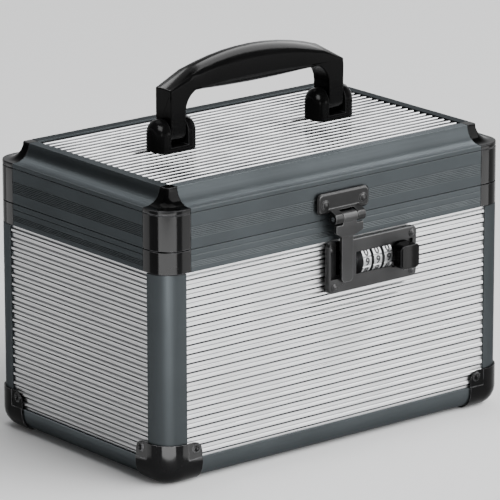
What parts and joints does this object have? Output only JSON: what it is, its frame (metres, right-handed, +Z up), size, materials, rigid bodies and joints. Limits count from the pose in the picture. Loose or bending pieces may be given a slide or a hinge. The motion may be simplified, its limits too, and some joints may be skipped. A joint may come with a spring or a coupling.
{
  "type": "medication lock box",
  "caption": "Small rectangular aluminium case with ribbed walls, a hinged lid with a coved edge, a folding bail handle, black corner guards, a hasp and a combination lock.",
  "frame": {"origin": "on the ground, under the middle of the whole box with its lid closed and handle upright", "axes": "+X to the right along the front, +Y from the front to the hinges, +Z up"},
  "size_m": [0.2234, 0.1562, 0.1943],
  "materials": {
    "ribbed_aluminium": "bright rolled sheet with raised beads, on board",
    "slate_aluminium": "slate grey anodised extrusion, fine grooves",
    "black_casting": "gloss black stoved casting",
    "black_pressing": "gloss black stoved sheet steel",
    "fibreboard": "dark hardboard",
    "lining_foam": "black foam liner",
    "handle_plastic": "gloss black moulding",
    "pin_steel": "ground steel pin",
    "hinge_steel": "black stoved steel leaf",
    "lock_zinc": "dark gunmetal die casting with bright edges",
    "lock_inside": "plain steel lock parts",
    "dial_metal": "satin chrome with printed numerals",
    "knob_plastic": "gloss black cap"
  },
  "bodies": {
    "case": {"front_panel": "ribbed_aluminium", "right_panel": "ribbed_aluminium", "back_panel": "ribbed_aluminium", "left_panel": "ribbed_aluminium", "bottom_rail_front": "slate_aluminium", "bottom_rail_right": "slate_aluminium", "bottom_rail_back": "slate_aluminium", "bottom_rail_left": "slate_aluminium", "rim_front": "slate_aluminium", "rim_right": "slate_aluminium", "rim_back": "slate_aluminium", "rim_left": "slate_aluminium", "corner_post_front_left": "slate_aluminium", "corner_post_front_right": "slate_aluminium", "corner_post_back_right": "slate_aluminium", "corner_post_back_left": "slate_aluminium", "rim_corner_front_left": "black_casting", "rim_corner_front_right": "black_casting", "rim_corner_back_right": "black_casting", "rim_corner_back_left": "black_casting", "corner_guard_front_left": "black_pressing", "corner_guard_front_right": "black_pressing", "corner_guard_back_right": "black_pressing", "corner_guard_back_left": "black_pressing", "bottom_panel": "fibreboard", "case_lining": "lining_foam", "hinge_pin_left": "pin_steel", "hinge_pin_right": "pin_steel", "hinge_case_leaf_left": "hinge_steel", "hinge_case_leaf_right": "hinge_steel", "lock_plate": "lock_zinc", "lock_housing": "lock_inside", "detent_comb": "lock_inside", "dial_spindle": "lock_inside"},
    "lid": {"lid_panel": "ribbed_aluminium", "lid_rail_front": "slate_aluminium", "lid_rail_right": "slate_aluminium", "lid_rail_back": "slate_aluminium", "lid_rail_left": "slate_aluminium", "lid_corner_front_left": "black_casting", "lid_corner_front_right": "black_casting", "lid_corner_back_right": "black_casting", "lid_corner_back_left": "black_casting", "lid_lining": "lining_foam", "handle_bracket_left": "handle_plastic", "handle_bracket_right": "handle_plastic", "handle_pin_left": "pin_steel", "handle_pin_right": "pin_steel", "hinge_lid_leaf_left": "hinge_steel", "hinge_lid_leaf_right": "hinge_steel", "hasp_strike": "lock_zinc", "hasp_pin": "pin_steel"},
    "handle": {"handle_grip": "handle_plastic"},
    "hasp": {"hasp_leaf": "lock_zinc"},
    "dial_1_wheel": {"dial_1": "dial_metal"},
    "dial_2_wheel": {"dial_2": "dial_metal"},
    "dial_3_wheel": {"dial_3": "dial_metal"},
    "slider": {"slider_knob": "knob_plastic", "lock_bolt": "lock_inside"}
  },
  "joints": [
    {"name": "lid_hinge", "type": "hinge", "parent": "case", "child": "lid", "pos_m": [0, 0.0757, 0.1189], "axis": [-1, 0, 0], "range_deg": [0, 100]},
    {"name": "handle_fold", "type": "hinge", "parent": "lid", "child": "handle", "pos_m": [0, 0.0037, 0.157], "axis": [1, 0, 0], "range_deg": [-90, 90]},
    {"name": "hasp_swing", "type": "hinge", "parent": "lid", "child": "hasp", "pos_m": [0.0008, -0.0709, 0.1201], "axis": [-1, 0, 0], "range_deg": [0, 105]},
    {"name": "dial_1_spin", "type": "hinge", "parent": "case", "child": "dial_1_wheel", "pos_m": [0.0139, -0.063, 0.0944], "axis": [1, 0, 0], "continuous": true},
    {"name": "dial_2_spin", "type": "hinge", "parent": "case", "child": "dial_2_wheel", "pos_m": [0.02083, -0.063, 0.0944], "axis": [1, 0, 0], "continuous": true},
    {"name": "dial_3_spin", "type": "hinge", "parent": "case", "child": "dial_3_wheel", "pos_m": [0.02776, -0.063, 0.0944], "axis": [1, 0, 0], "continuous": true},
    {"name": "slider_travel", "type": "slide", "parent": "case", "child": "slider", "axis": [1, 0, 0], "range_m": [-0.0016, 0.0022]}
  ]
}
